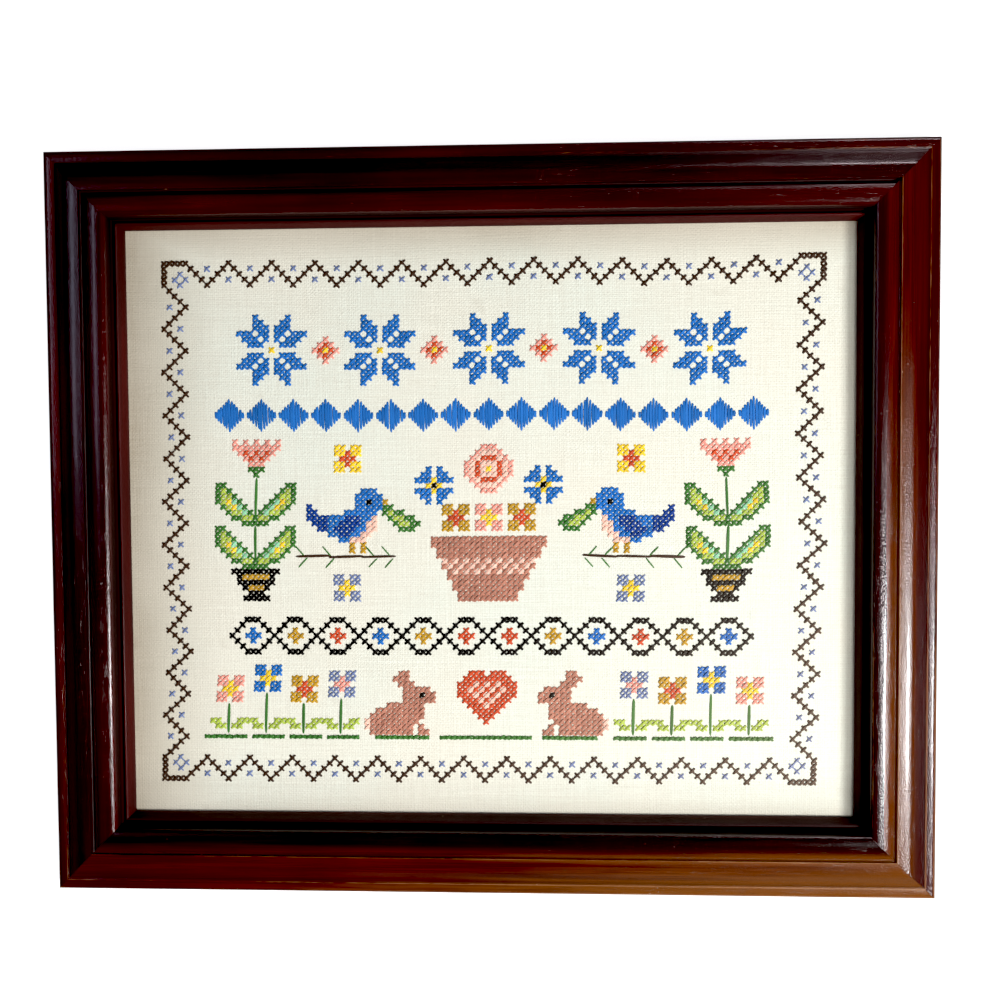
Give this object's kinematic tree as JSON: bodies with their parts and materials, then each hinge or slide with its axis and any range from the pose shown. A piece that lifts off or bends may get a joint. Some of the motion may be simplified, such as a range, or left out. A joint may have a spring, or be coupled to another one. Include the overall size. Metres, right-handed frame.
{
  "type": "cross stitch embroidery in wooden picture frame",
  "caption": "Stitched linen sampler stretched flat over a board inside a mitred dark wooden moulding, lying on its back.",
  "frame": {"origin": "middle of the frame's flat back, level with the surface it lies on", "axes": "+Z out of the picture's face, +Y towards the picture's top edge, +X towards its right edge"},
  "size_m": [0.412, 0.348, 0.0241],
  "materials": {
    "frame_wood": "dark mahogany stain under gloss lacquer, worn to orange brown along the edges",
    "linen": "ivory plain weave cloth with cotton cross stitch",
    "board": "plain pressed brown board"
  },
  "bodies": {
    "root": {"top_rail": "frame_wood", "bottom_rail": "frame_wood", "left_rail": "frame_wood", "right_rail": "frame_wood", "cloth": "linen", "backing_board": "board"}
  },
  "joints": []
}
